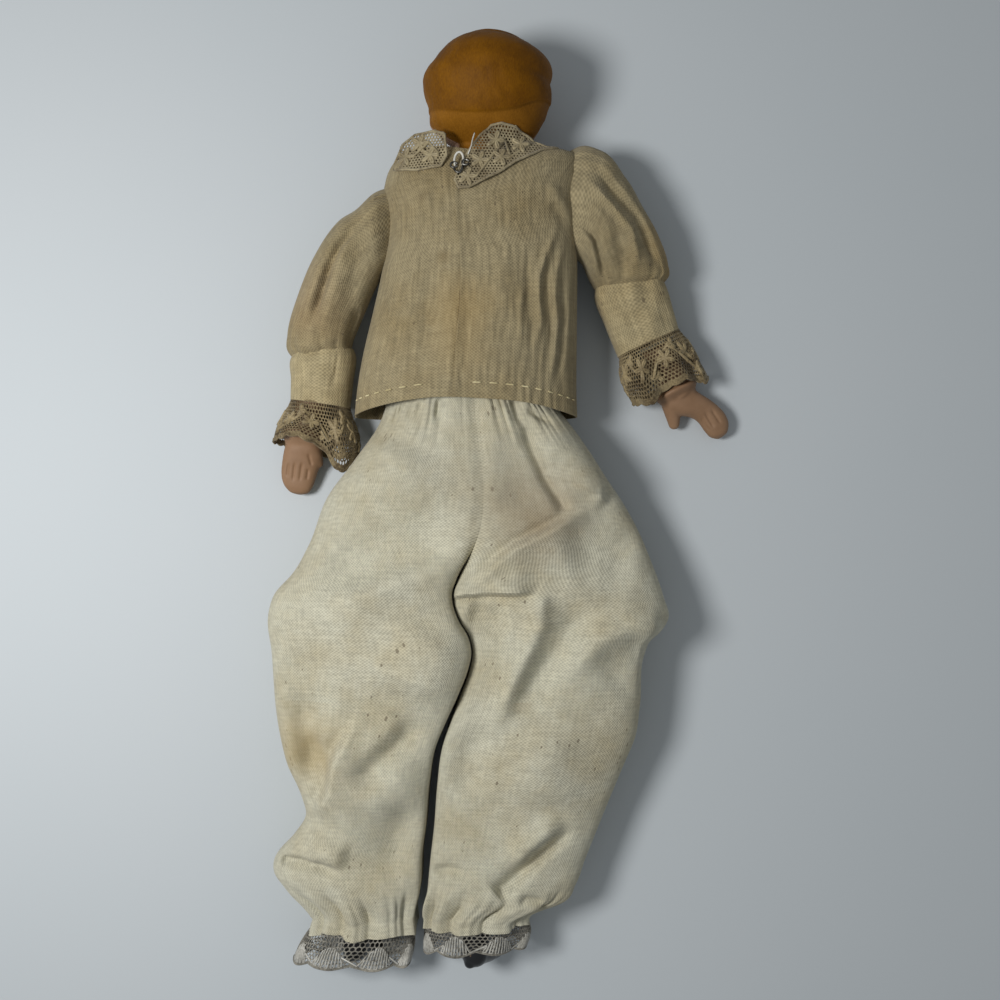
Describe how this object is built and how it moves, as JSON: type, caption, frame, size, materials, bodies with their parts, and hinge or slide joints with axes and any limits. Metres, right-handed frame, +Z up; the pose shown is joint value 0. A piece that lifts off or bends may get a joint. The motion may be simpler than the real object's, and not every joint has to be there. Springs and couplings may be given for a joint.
{
  "type": "bisque doll",
  "caption": "Small bisque shoulder-head doll with a stuffed cloth body, lying face down in a gauze blouse with lace collar and cuffs and long gathered muslin bloomers.",
  "frame": {"origin": "on the flattened front of the blouse, under the chest, in the plane of the table that the doll lies on", "axes": "+Y towards the head, +Z up from the table to the doll's back, +X to the viewer's right as the doll lies face down"},
  "size_m": [0.102, 0.2027, 0.0269],
  "materials": {
    "bisque": "unglazed, tinted, painted hair and boots",
    "muslin": "plain weave muslin",
    "stuffing": "loose cotton filling",
    "gauze": "aged cotton gauze",
    "ivory_muslin": "aged plain weave muslin",
    "net_lace": "aged net lace with worked motifs",
    "silver_lace": "fine net lace",
    "thread": "cotton thread",
    "elastic": "covered elastic cord",
    "hook_wire": "tarnished wire"
  },
  "bodies": {
    "torso": {"shoulder_head": "bisque", "torso_casing": "muslin", "torso_stuffing": "stuffing", "bodice_front": "gauze", "bodice_back_left": "gauze", "bodice_back_right": "gauze", "collar_lace_left": "net_lace", "collar_lace_right": "net_lace", "closure_hook": "hook_wire", "closure_loop": "thread", "waist_elastic": "elastic", "bloomers_seat_left": "ivory_muslin", "bloomers_seat_right": "ivory_muslin"},
    "upper_arm_left": {"upper_arm_casing_left": "muslin", "upper_arm_stuffing_left": "stuffing", "sleeve_left": "gauze"},
    "forearm_left": {"forearm_left": "bisque", "arm_tie_left": "thread", "cuff_left": "gauze", "cuff_lace_left": "net_lace"},
    "upper_leg_left": {"upper_leg_casing_left": "muslin", "upper_leg_stuffing_left": "stuffing", "bloomers_leg_left": "ivory_muslin"},
    "lower_leg_left": {"lower_leg_left": "bisque", "leg_tie_left": "thread", "ankle_elastic_left": "elastic", "ankle_lace_left": "silver_lace"},
    "upper_arm_right": {"upper_arm_casing_right": "muslin", "upper_arm_stuffing_right": "stuffing", "sleeve_right": "gauze"},
    "forearm_right": {"forearm_right": "bisque", "arm_tie_right": "thread", "cuff_right": "gauze", "cuff_lace_right": "net_lace"},
    "upper_leg_right": {"upper_leg_casing_right": "muslin", "upper_leg_stuffing_right": "stuffing", "bloomers_leg_right": "ivory_muslin"},
    "lower_leg_right": {"lower_leg_right": "bisque", "leg_tie_right": "thread", "ankle_elastic_right": "elastic", "ankle_lace_right": "silver_lace"}
  },
  "joints": [
    {"name": "shoulder_left", "type": "hinge", "parent": "torso", "child": "upper_arm_left", "pos_m": [-0.0206, 0.0174, 0.0111], "axis": [0, 0, -1], "range_deg": [0, 95], "deforming": ["sleeve_left"]},
    {"name": "elbow_left", "type": "hinge", "parent": "upper_arm_left", "child": "forearm_left", "pos_m": [-0.03109, -0.00857, 0.0078], "axis": [-0.9659, 0.2588, 0], "range_deg": [-45, 30], "deforming": ["upper_arm_casing_left"]},
    {"name": "shoulder_right", "type": "hinge", "parent": "torso", "child": "upper_arm_right", "pos_m": [0.0274, 0.0246, 0.0111], "axis": [0, 0, 1], "range_deg": [-5, 95], "deforming": ["sleeve_right"]},
    {"name": "elbow_right", "type": "hinge", "parent": "upper_arm_right", "child": "forearm_right", "pos_m": [0.03789, -0.00137, 0.0078], "axis": [-0.8746, -0.4848, 0], "range_deg": [-45, 30], "deforming": ["upper_arm_casing_right"]},
    {"name": "hip_left", "type": "hinge", "parent": "torso", "child": "upper_leg_left", "pos_m": [-0.00736, -0.0488, 0.0107], "axis": [1, 0, 0], "range_deg": [-25, 90], "deforming": ["bloomers_seat_left", "bloomers_leg_left"]},
    {"name": "knee_left", "type": "hinge", "parent": "upper_leg_left", "child": "lower_leg_left", "pos_m": [-0.01512, -0.09109, 0.00992], "axis": [-1, 0, 0], "range_deg": [-30, 60], "deforming": ["upper_leg_casing_left"]},
    {"name": "hip_right", "type": "hinge", "parent": "torso", "child": "upper_leg_right", "pos_m": [0.00976, -0.0488, 0.0107], "axis": [1, 0, 0], "range_deg": [-25, 90], "deforming": ["bloomers_seat_right", "bloomers_leg_right"]},
    {"name": "knee_right", "type": "hinge", "parent": "upper_leg_right", "child": "lower_leg_right", "pos_m": [0.00616, -0.09164, 0.00992], "axis": [-1, 0, 0], "range_deg": [-30, 60], "deforming": ["upper_leg_casing_right"]}
  ]
}
